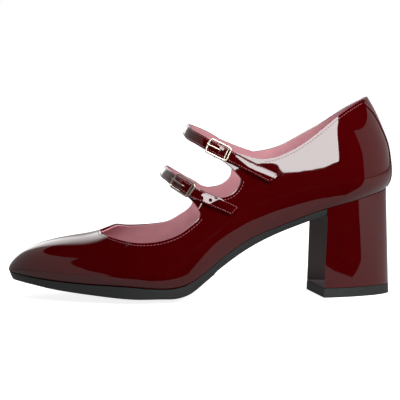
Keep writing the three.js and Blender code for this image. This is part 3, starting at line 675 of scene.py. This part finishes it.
def finish(name, colour, roughness, bumps=(), tone=None, coat=None, metal=0.0, level=None):
    """A material from its colour and roughness. bumps are (grain in mm, depth in mm, detail) noises
    on object coordinates; tone is (other colour, patch in mm, share) for colour variation; coat is
    (weight, roughness) of a clear film; level is the strength of the plain reflection."""
    material = bpy.data.materials.new(name)
    material.use_nodes = True
    tree = material.node_tree
    shader = tree.nodes["Principled BSDF"]
    shader.inputs["Base Color"].default_value = linear(colour)
    shader.inputs["Roughness"].default_value = roughness
    shader.inputs["Metallic"].default_value = metal
    if level is not None:
        shader.inputs["Specular IOR Level"].default_value = level
    if coat:
        shader.inputs["Coat Weight"].default_value, shader.inputs["Coat Roughness"].default_value = coat
    place = node(tree, "TexCoord").outputs["Object"]
    if tone:
        other, patch, portion = tone
        noise = node(tree, "TexNoise", [(place, "Vector")], Scale=1000 / patch, Detail=3.0)
        ramp = node(tree, "ValToRGB", [(noise.outputs["Fac"], "Fac")])
        for stop, way, shade in zip(ramp.color_ramp.elements, (-0.5, 0.5), (colour, other)):
            stop.position, stop.color = 0.5 + way * portion, linear(shade)
        tree.links.new(ramp.outputs["Color"], shader.inputs["Base Color"])
    previous = None
    for grain, depth, detail in bumps:
        noise = node(tree, "TexNoise", [(place, "Vector")], Scale=1000 / grain, Detail=detail)
        bump = node(tree, "Bump", [(noise.outputs["Fac"], "Height")], Distance=depth / 1000,
                    Strength=1.0)
        if previous:
            tree.links.new(previous, bump.inputs["Normal"])
        previous = bump.outputs["Normal"]
    if previous:
        tree.links.new(previous, shader.inputs["Normal"])
        if coat:
            tree.links.new(previous, shader.inputs["Coat Normal"])
    return material


PATENT = LINING = THREAD_WITH_HIGHLIGHT = RUBBER = TREAD = PLATE = SOCK = PAINTED_SHADE = None


def make_materials(st):
    """Every finish once, so that pieces share them."""
    global PATENT, LINING, THREAD_WITH_HIGHLIGHT, RUBBER, TREAD, PLATE, SOCK, PAINTED_SHADE
    # Patent leather: a calf split under a poured, cured film. Colour sits deep under a mirror gloss;
    # the film hides the grain and leaves a faint waviness some 14 mm long and a finer one of 4 mm.
    PATENT = finish("patent_leather_burgundy", st.patent, 0.5, level=0.0, coat=(1.0, st.gloss),
                    bumps=((14.0, 0.05, 1.0), (4.0, 0.006, 0.0)), tone=("370002", 9.0, 0.9))
    # Lining: pink kid, drum dyed and buffed. Matte, with pores about 0.7 mm apart and soft mottling.
    LINING = finish("kid_lining_pink", st.lining, 0.6, bumps=((0.7, 0.05, 2.0), (5.0, 0.1, 1.0)),
                    tone=("B97F88", 7.0, 0.8))
    # Sock over the insole: the same kid, pressed flat and a little worn.
    SOCK = finish("kid_sock_pink", "C18C93", 0.55, bumps=((0.8, 0.04, 2.0),), tone=("B27F87", 14.0, 0.8))
    # Thread: bonded polyester, twisted, glossy along its ridges. Its colour is the thread's own, made lighter
    # as a painted highlight so that the stitches show as light dots.
    THREAD_WITH_HIGHLIGHT = finish("thread_burgundy_painted_highlight", "95545A", 0.4, bumps=((0.4, 0.03, 0.0),))
    # Sole: moulded rubber, charcoal, its sides scoured and inked. Dull, with a fine even grain.
    RUBBER = finish("moulded_rubber_charcoal", "1A1B1B", 0.5, bumps=((0.5, 0.02, 1.0),),
                    tone=("212222", 6.0, 0.9), level=0.35)
    # Top piece: harder rubber, cut and ground at its side, so a shade more matt.
    TREAD = finish("ground_rubber_charcoal", "191A1B", 0.6, bumps=((0.4, 0.04, 2.0),),
                   tone=("202122", 4.0, 0.9), level=0.35)
    # Buckle: zinc casting with a pale gold plate, barrel polished, so its highlights are wide and soft.
    PLATE = finish("pale_gold_plate_polished", "C6BBAD", 0.3, metal=1.0, bumps=((1.5, 0.01, 1.0),))
    # Painted shade: a dark colour with no plain reflection, laid in the punched holes and in the gap at
    # the heel's seat to stand for the shade there; it shows as dark dots and a fine dark line.
    PAINTED_SHADE = finish("painted_shade_dark", "2A0507", 0.5, level=0.0)


def settings():
    return bpy.context.scene.mary_jane


def shown(obj, slot, *nodes):
    """The piece rides with the shoe and stands for its solids, which it hides; slot is not used."""
    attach(obj, "root")
    if nodes:
        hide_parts(*nodes)
    return obj


def length(name, description, default):
    return FloatProperty(name=name, description=description, default=default, unit="LENGTH")


class ShoeSettings(bpy.types.PropertyGroup):
    """Sizes and colours that a user would change."""
    patent: StringProperty(name="Patent colour", description="sRGB hex of the patent leather",
                           default="3D0203")
    lining: StringProperty(name="Lining colour", description="sRGB hex of the lining", default="C98F96")
    gloss: FloatProperty(name="Film roughness", description="Roughness of the patent film", default=0.03,
                         min=0, max=1, subtype="FACTOR")
    skin: length("Leather", "Thickness of the patent leather", 0.00125)
    lining_thick: length("Lining", "Thickness of the lining", 0.0006)
    fold: length("Edge fold", "Radius of the folded edge", 0.0005)
    stitch: length("Stitch pitch", "Distance between stitches", 0.0021)
    stitch_inset: length("Stitch inset", "Distance of the seam from the edge", 0.0016)


class SHOE_OT_finishes(bpy.types.Operator):
    """Make the finishes of the shoe"""
    bl_idname = "shoe.finishes"
    bl_label = "Finishes"

    def execute(self, context):
        make_materials(settings())
        return {"FINISHED"}


class SHOE_OT_upper(bpy.types.Operator):
    """Make the patent leather upper with its ears and its lining"""
    bl_idname = "shoe.upper"
    bl_label = "Upper and lining"

    def execute(self, context):
        st = settings()
        middle = (0, 0, 0.03)
        skin = make("upper_leather", upper_grids(0.0), PATENT, merge=0.02, outward=middle)
        thicken(skin, st.skin * 1000, st.fold * 1000)
        shown(skin, "patent_leather", "upper")
        inner = make("upper_lining", upper_grids(st.skin * 1000 + 0.05), LINING, merge=0.02, outward=middle)
        thicken(inner, st.lining_thick * 1000, 0.2, 2)
        shown(inner, "lining_leather")
        return {"FINISHED"}


class SHOE_OT_back_strip(bpy.types.Operator):
    """Make the strip that covers the back seam, with a row of stitches along each side"""
    bl_idname = "shoe.back_strip"
    bl_label = "Back strip"

    def execute(self, context):
        v, w = np.meshgrid(np.linspace(0.01, 0.995, 90), np.linspace(-1, 1, 41), indexing="ij")
        sh, an = strip_place(v, w)
        skin = make("back_strip", [(leather(sh, an, np.full(sh.shape, -STRIP_PROUD)), False, False)], PATENT,
                    merge=0.01, outward=(0.0, 0, 0.09))
        thicken(skin, 0.5, 0.22, 2)
        shown(skin, "patent_leather")
        for sign, word in ((1, "outer"), (-1, "inner")):
            v = np.linspace(0.02, 0.985, 300)
            half = np.interp(v, STRIP["up"], STRIP["half"])
            sh, an = strip_place(v, 0 * v + sign * (1 - STRIP_SEAM_IN / half))
            p = leather(sh, an, np.full(sh.shape, -STRIP_PROUD))
            row = capsules(f"stitches_strip_{word}", p, np.gradient(p, axis=0), normal(sh, an),
                           *STRIP_SEAM, THREAD_WITH_HIGHLIGHT)
            shown(row, "patent_leather")
        return {"FINISHED"}


class SHOE_OT_stitches(bpy.types.Operator):
    """Sew the seams along the openings"""
    bl_idname = "shoe.stitches"
    bl_label = "Stitches"

    def execute(self, context):
        st = settings()
        pitch, down = st.stitch * 1000, st.stitch_inset * 1000
        for side, word in ((1, "outer"), (-1, "inner")):
            s, a, ((n1, n2), (n3, n4)) = side_edge(side)
            for part, first, last in (("topline", 0, n1 - 2), ("gap", n2 + 2, n3 - 2),
                                      ("throat", n4 + 2, n4 + 90)):
                p, t, n = inset(s[first:last + 1], a[first:last + 1], down)
                row = capsules(f"stitches_{part}_{word}", p, t, n, pitch, pitch * 0.78, 0.42, 0.16, THREAD_WITH_HIGHLIGHT)
                shown(row, "patent_leather")
        return {"FINISHED"}


# Tilt of each band about its own length in degrees, by the distance past the buckle's middle; the
# places of the punched holes; how high the band is crowned; how far inside its edge the seam runs.
TILT = table("past upper lower", [
    (-12, 0, 0), (-6, 0, 0), (5, -5, -12), (10, -5, -14), (13, -4, 7), (19, 0, 9), (22, 2, -5),
    (27, 3, -5), (40, 2, -5)])
HOLES = {"upper": (1.5,), "lower": (1.5, 18.0, 22.0)}
HOLE_RADIUS, BAND_CROWN, BAND_SEAM_IN = 1.1, 0.30, 0.95
# Layers of a band: name, heights of its underside and top, how much narrower it is, slot.
BAND_LAYERS = (("leather", 0.35, STRAP_THICK, 0.0, "strap_leather"),
               ("lining", 0.0, 0.72, 0.25, "lining_leather"))


class SHOE_OT_straps(bpy.types.Operator):
    """Make both straps: a folded patent band with a lined underside, punched and stitched"""
    bl_idname = "shoe.straps"
    bl_label = "Straps"

    def execute(self, context):
        for word, one in STRAPS.items():
            # section of the band: a flat oblong with round edges, from cosine and sine to a low power
            w = np.arange(44) * math.tau / 44
            c, si = np.cos(w), np.sin(w)
            across = np.sign(c) * np.abs(c) ** 0.28
            high = 0.5 + 0.5 * np.sign(si) * np.abs(si) ** 0.6

            def crown(e, side):
                """Height of the arched and tilted top over the flat one."""
                lean = np.tan(np.radians(np.interp(e - one.buckle, TILT["past"], TILT[word])))
                return BAND_CROWN * (1 - side ** 2) + lean * side * STRAP_WIDE / 2

            def band(low, top, narrow):
                """Points of the band: along it the share of its length, across it the section."""
                e = np.linspace(0, 1, 150)[:, None] * one.end(across[None, :])
                tip = np.maximum(0, 1 - (one.end(across[None, :]) - e) / 0.9)
                half = STRAP_WIDE / 2 - narrow - 0.35 * tip * tip
                o, t, n, b = one.frame(e)
                h = one.lift(e) + low + (top - low - BAND_CROWN) * high[None, :]
                h = h + crown(e, across[None, :]) * (high > 0.5)
                return o + n * h[..., None] + b * (half * across[None, :])[..., None]

            for (part, low, top, narrow, slot), material in zip(BAND_LAYERS, (PATENT, LINING)):
                grid = band(low, top, narrow)
                first, last = (grid[i].mean(0) + 0 * grid[i] for i in (0, -1))
                grid = np.concatenate([first[None], grid, last[None]])
                obj = make(f"strap_{word}_{part}", [(grid, False, True)], material, merge=0.005)
                soften(obj, 0.12, 2, 60)
                shown(obj, slot, *(("strap_" + word,) if part == "leather" else ()))

            def top_of(e, side):
                """A point on top of the band: e along it, side across it from -1 to 1."""
                e, side = np.broadcast_arrays(np.asarray(e, float), np.asarray(side, float))
                o, t, n, b = one.frame(e)
                h = one.lift(e) + STRAP_THICK - BAND_CROWN + crown(e, side)
                return o + n * h[..., None] + b * (side * STRAP_WIDE / 2)[..., None], t, n, b

            rim = 1 - BAND_SEAM_IN / (STRAP_WIDE / 2)
            k = np.linspace(-rim, rim, 60)
            for name, e, side, cross in (
                    ("top", np.linspace(1.0, one.end(-rim) - 1.0, 400), -rim, False),
                    ("low", np.linspace(1.0, one.end(rim) - 1.0, 400), rim, False),
                    ("end", one.end(k) - 1.0, k, True)):
                p, t, n, b = top_of(e, side)
                along = np.gradient(p, axis=0) if cross else t
                obj = capsules(f"strap_{word}_stitches_{name}", p, along, n, *STRAP_SEAM, THREAD_WITH_HIGHLIGHT)
                shown(obj, "strap_leather")
            # punched holes: a disc of painted shade, dark for the shade inside the hole, with a soft raised
            # rim, its height a bell of the radius
            r, w = np.meshgrid(np.linspace(0, 1, 9), np.arange(24) * math.tau / 24, indexing="ij")
            x, y = HOLE_RADIUS * r * np.cos(w), HOLE_RADIUS * r * np.sin(w)
            grids = []
            for past in HOLES[word]:
                p, t, n, b = top_of(one.buckle + past + x, y * 2 / STRAP_WIDE)
                lift = 0.03 + 0.10 * np.exp(-((r - 0.85) / 0.12) ** 2)
                grids.append((p + n * lift[..., None], False, True))
            obj = make(f"strap_{word}_hole_painted_shade", grids, PAINTED_SHADE, merge=0.005)
            shown(obj, "strap_leather")
        return {"FINISHED"}


# Middle line of a prong: along the strap and up, from its tip over the bar into the fold.
PRONG_PATH = ((-8.0, 4.87), (-7.6, 4.93), (-7.0, 4.94), (-3, 4.94), (0.4, 4.94), (0.9, 4.75), (1.25, 4.35),
              (1.45, 3.8), (1.5, 2.5), (1.5, 1.1))


class SHOE_OT_buckles(bpy.types.Operator):
    """Make the buckle frames with their centre bars, and the prongs"""
    bl_idname = "shoe.buckles"
    bl_label = "Buckles"

    def execute(self, context):
        for word, one in STRAPS.items():
            at, n = buckle_axes(one)
            x, y = rounded(FRAME_LONG - 2 * WIRE, FRAME_WIDE - 2 * WIRE, CORNER)
            loop = ring(at(x, y, 0 * x + FRAME_HIGH), WIRE + 0.02, WIRE, n)
            w = FRAME_WIDE / 2 - WIRE
            y = np.linspace(-1, 1, 20) * w
            place = at(0 * y + FRAME_LONG / 2 - WIRE - SECOND_BAR, y, 0 * y + FRAME_HIGH)
            second = ring(place, 0.42, 0.45, n, closed=False)
            fall = ((w, FRAME_HIGH), (w, BAR_HIGH + 0.7), (w - 0.2, BAR_HIGH + 0.2), (w - 0.7, BAR_HIGH))
            y, high = bent(fall + ((0, BAR_HIGH),) + tuple((-a, b) for a, b in fall[::-1]))
            bar = ring(at(0 * y, y, high), WIRE - 0.05, WIRE - 0.05, at(1, 0, 0) - at(0, 0, 0), closed=False)
            obj = make(f"buckle_{word}_wire", [loop, second, bar], PLATE, merge=0.002)
            shown(obj, "buckle_metal", f"buckle_frame_{word}")
            x, high = bent(PRONG_PATH)
            tongue = ring(at(x, 0 * x, high), PRONG, PRONG, at(0, 1, 0) - at(0, 0, 0), closed=False)
            obj = make(f"buckle_{word}_tongue", [tongue], PLATE, merge=0.002)
            shown(obj, "buckle_metal", f"buckle_prong_{word}")
        return {"FINISHED"}


class SHOE_OT_bottom(bpy.types.Operator):
    """Make the sock, the sole, the covered heel and its top piece"""
    bl_idname = "shoe.bottom"
    bl_label = "Sole and heel"

    def execute(self, context):
        sock = plate((BACK_X, BACK_X), (TOE_X, TOE_X),
                     lambda s, k: WALL + GAP + 0.1 + 1.5 * np.clip((s - 0.88) / 0.12, 0, 1),
                     lambda s, v, x: (floor_at(s, v, x) + 0.12, floor_at(s, v, x) + 0.12 + INSOLE))
        obj = make("sock", block(sock, 160, 24, 2), SOCK, merge=0.01)
        soften(obj, 0.5)
        shown(obj, "lining_leather", "insole")
        sole = plate((BREAST_LATERAL, BREAST_MEDIAL), (TOE_X, TOE_X), sole_edge, sole_heights)
        obj = make("sole", block(sole, 220, 28, 6), RUBBER, merge=0.01)
        soften(obj, 0.45)
        shown(obj, "sole_rubber", "outsole")
        foot = TOP_PIECE + GAP
        obj = make("heel_cover", block(heel_point(foot, 0, 1, 0), 90, 24, 60), PATENT, merge=0.01)
        soften(obj, 0.15, 2)
        shown(obj, "heel_cover", "heel_block")
        # painted shade: a dark filler in the gap under the heel's seat stands for the shade in that gap
        obj = make("heel_seat_painted_shade", block(heel_point(foot, 0, -1.5, 0, 0.3), 90, 8, 40), PAINTED_SHADE, merge=0.01)
        shown(obj, "heel_cover")
        obj = make("heel_tip", block(heel_point(0, TOP_PIECE, 0, 0.01), 90, 16, 4), TREAD, merge=0.01)
        soften(obj, 0.35)
        shown(obj, "top_piece_rubber", "top_piece")
        return {"FINISHED"}


# Soft box in front: the corners of its cloth, in metres of the shoe's frame, and how bright the cloth
# is beside white paper. Its heel-side edge leans out as it rises.
SOFT_BOX = ((-0.37, 1.48, 0.30), (-0.77, 1.31, 0.415), (-0.88, 1.04, 0.84), (-0.96, 0.59, 1.15),
            (-0.70, 0.43, 1.39), (-0.22, 0.76, 1.39))
SOFT_BOX_BRIGHT = 15.0
# The glow: the way to its middle, how quickly it fades to the side and up, and where it starts and
# ends with its brightness.
GLOW_WAY, GLOW_FADE = (0.139, 0.0, 0.45), (1 / 0.14, 0.0, 1 / 0.55)
GLOW = (0.5, 1.3, 2.4, 0.0)
# The tent's cloth, by how far the direction points to the toe: (gain, base) of its front edge, its top
# edge and its brightness. Towards the toe only, its front edge leans back as it rises and its top drops.
TENT_FRONT, TENT_TOP, TENT_GREY = (0.094, 0.56), (0.2, 0.67), (-0.05, 0.5)
TENT_LEAN, TENT_DROP = (-1.0, 0.42), -0.06
# The front edge of the lit table top; beyond it the room is dark. Metres.
TABLE_FRONT = ((-4.0, 2.1), (-0.60, 0.27), (-0.24, 0.085), (-0.15, 0.065), (-0.122, 0.105),
               (-0.10, 0.150), (-0.01, 0.059), (0.036, 0.060), (0.076, 0.083), (0.30, 0.33), (3.2, 4.2))
# A grey strip of the table behind, in front of the heel's breast.
TABLE_BACK = ((-0.085, -0.09), (0.0, -0.09), (0.25, -0.90), (-0.02, -0.90))
FLOOR_Z, CARD_Z, FLOOR_HALF = -0.0002, 0.0001, 6.0
# Camera: degrees round from behind the inner side, degrees up, metres away, what it looks at, lens.
CAMERA_TURN, CAMERA_RISE, CAMERA_FAR = 173.0, 4.9, 1.6
CAMERA_AIM = Vector((0.00226, 0.00058, 0.060))
LENS, SENSOR, SHIFT = 230.4, 36.0, 0.003


def light_tent(tree):
    """The tent as a pattern of the direction: grey cloth behind and at both sides, open in front and
    above, with a soft glow high at the back. The camera itself sees plain white."""
    way = node(tree, "TexCoord").outputs["Generated"]

    def vector(operation, source, value=None, result=0):
        made = node(tree, "VectorMath", [(source, 0)], operation=operation)
        if value:
            made.inputs[1].default_value = value
        return made.outputs[result]

    turn = node(tree, "SeparateXYZ", [(vector("NORMALIZE", vector("MULTIPLY", way, (1, 1, 0))), 0)])
    x, y = turn.outputs["X"], turn.outputs["Y"]
    z = node(tree, "SeparateXYZ", [(way, 0)]).outputs["Z"]
    line = lambda source, gain_base: maths(tree, "MULTIPLY_ADD", source, *gain_base)
    toe = maths(tree, "MAXIMUM", x, 0.0)
    edge = maths(tree, "MULTIPLY_ADD", line(z, TENT_LEAN), toe, line(x, TENT_FRONT))
    top = maths(tree, "MULTIPLY_ADD", toe, TENT_DROP, line(x, TENT_TOP))
    cloth = maths(tree, "MULTIPLY", maths(tree, "LESS_THAN", y, edge), maths(tree, "LESS_THAN", z, top))
    grey = maths(tree, "MULTIPLY", cloth, line(x, TENT_GREY))
    far = vector("LENGTH", vector("MULTIPLY", vector("SUBTRACT", way, GLOW_WAY), GLOW_FADE), result="Value")
    glow = node(tree, "MapRange", [(far, "Value")], interpolation_type="SMOOTHSTEP")
    for key, value in zip(("From Min", "From Max", "To Min", "To Max"), GLOW):
        glow.inputs[key].default_value = value
    lit = maths(tree, "MULTIPLY", glow.outputs[0], maths(tree, "LESS_THAN", y, 0.0))
    seen = node(tree, "LightPath").outputs["Is Camera Ray"]
    return maths(tree, "MAXIMUM", seen, maths(tree, "ADD", grey, lit))


def plane(name, corners, material):
    """One flat polygon of the stage."""
    mesh = bpy.data.meshes.new(name)
    mesh.from_pydata(corners, [], [tuple(range(len(corners)))])
    mesh.materials.append(material)
    obj = bpy.data.objects.new(name, mesh)
    bpy.context.scene.collection.objects.link(obj)
    obj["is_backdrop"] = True
    return obj


def bare(name):
    """A material with nothing but its output, its tree, and the socket of its surface."""
    material = bpy.data.materials.new(name)
    material.use_nodes = True
    tree = material.node_tree
    tree.nodes.remove(tree.nodes["Principled BSDF"])
    return material, tree, tree.nodes["Material Output"].inputs["Surface"]


class SHOE_OT_stage(bpy.types.Operator):
    """Set the floor, the light tent, the soft box and the camera"""
    bl_idname = "shoe.stage"
    bl_label = "Stage"

    def execute(self, context):
        scene = bpy.context.scene
        scene.view_settings.view_transform = "Standard"
        world = bpy.data.worlds.new("light_tent")
        scene.world = world
        world.use_nodes = True
        tree = world.node_tree
        back = tree.nodes["Background"]
        tree.links.new(light_tent(tree), back.inputs["Color"])
        # The floor: white paper. To the camera it is evenly lit; to the shoe it is a grey one.
        paper, tree, surface_in = bare("paper_white")
        dull = node(tree, "BsdfDiffuse", Color=linear("D8D8D8"))
        bright = node(tree, "Emission", Color=(1, 1, 1, 1), Strength=0.86)
        both = node(tree, "AddShader", [(dull.outputs[0], 0), (bright.outputs[0], 1)])
        grey = node(tree, "BsdfDiffuse", Color=linear("B2B2B2"))
        seen = node(tree, "LightPath").outputs["Is Camera Ray"]
        pick = node(tree, "MixShader", [(seen, 0), (grey.outputs[0], 1), (both.outputs[0], 2)])
        tree.links.new(pick.outputs[0], surface_in)
        corners = [(x * FLOOR_HALF, y * FLOOR_HALF, FLOOR_Z) for x, y in ((-1, -1), (1, -1), (1, 1), (-1, 1))]
        plane("floor", corners, paper)
        for name, corners, colour in (("card_black", TABLE_FRONT, "050505"),
                                      ("card_grey", TABLE_BACK, "5A5A5A")):
            card = plane(name, [(x, y, CARD_Z) for x, y in corners], finish(name, colour, 0.9, level=0.0))
            card.visible_camera = card.visible_shadow = card.visible_diffuse = False
        cloth, tree, surface_in = bare("soft_box_cloth")
        shine = node(tree, "Emission", Color=(1, 1, 1, 1), Strength=SOFT_BOX_BRIGHT)
        tree.links.new(shine.outputs[0], surface_in)
        plane("soft_box_key", SOFT_BOX, cloth).visible_camera = False
        turn, rise = math.radians(CAMERA_TURN), math.radians(CAMERA_RISE)
        away = Vector((math.sin(turn) * math.cos(rise), -math.cos(turn) * math.cos(rise), math.sin(rise)))
        lens = bpy.data.cameras.new("camera")
        lens.lens, lens.sensor_width, lens.shift_y, lens.clip_end = LENS, SENSOR, SHIFT, 50
        camera = bpy.data.objects.new("camera", lens)
        scene.collection.objects.link(camera)
        camera.location = CAMERA_AIM + away * CAMERA_FAR
        camera.rotation_euler = (-away).to_track_quat("-Z", "Y").to_euler()
        scene.camera = camera
        return {"FINISHED"}


ORDER = (SHOE_OT_finishes, SHOE_OT_upper, SHOE_OT_back_strip, SHOE_OT_stitches, SHOE_OT_straps,
         SHOE_OT_buckles, SHOE_OT_bottom, SHOE_OT_stage)


class SHOE_PT_panel(bpy.types.Panel):
    """Lists the shoe's settings and steps"""
    bl_idname = "SHOE_PT_panel"
    bl_label = "Patent mary jane"
    bl_space_type = "VIEW_3D"
    bl_region_type = "UI"
    bl_category = "Shoe"

    def draw(self, context):
        for key in ShoeSettings.__annotations__:
            self.layout.prop(context.scene.mary_jane, key)
        for step in ORDER:
            self.layout.operator(step.bl_idname)


def register():
    for c in (ShoeSettings, *ORDER, SHOE_PT_panel):
        bpy.utils.register_class(c)
    bpy.types.Scene.mary_jane = PointerProperty(type=ShoeSettings)


def unregister():
    del bpy.types.Scene.mary_jane
    for c in reversed((ShoeSettings, *ORDER, SHOE_PT_panel)):
        bpy.utils.unregister_class(c)


def main():
    """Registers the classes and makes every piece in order."""
    register()
    for step in ORDER:
        group, word = step.bl_idname.split(".")
        if getattr(getattr(bpy.ops, group), word)() != {"FINISHED"}:
            raise RuntimeError(step.bl_label)
    plain = lambda box: [[float(v) for v in corner] for corner in box]
    {"cad": plain(CAD_BOX), "visual": plain(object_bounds())}


if __name__ == "__main__":
    main()
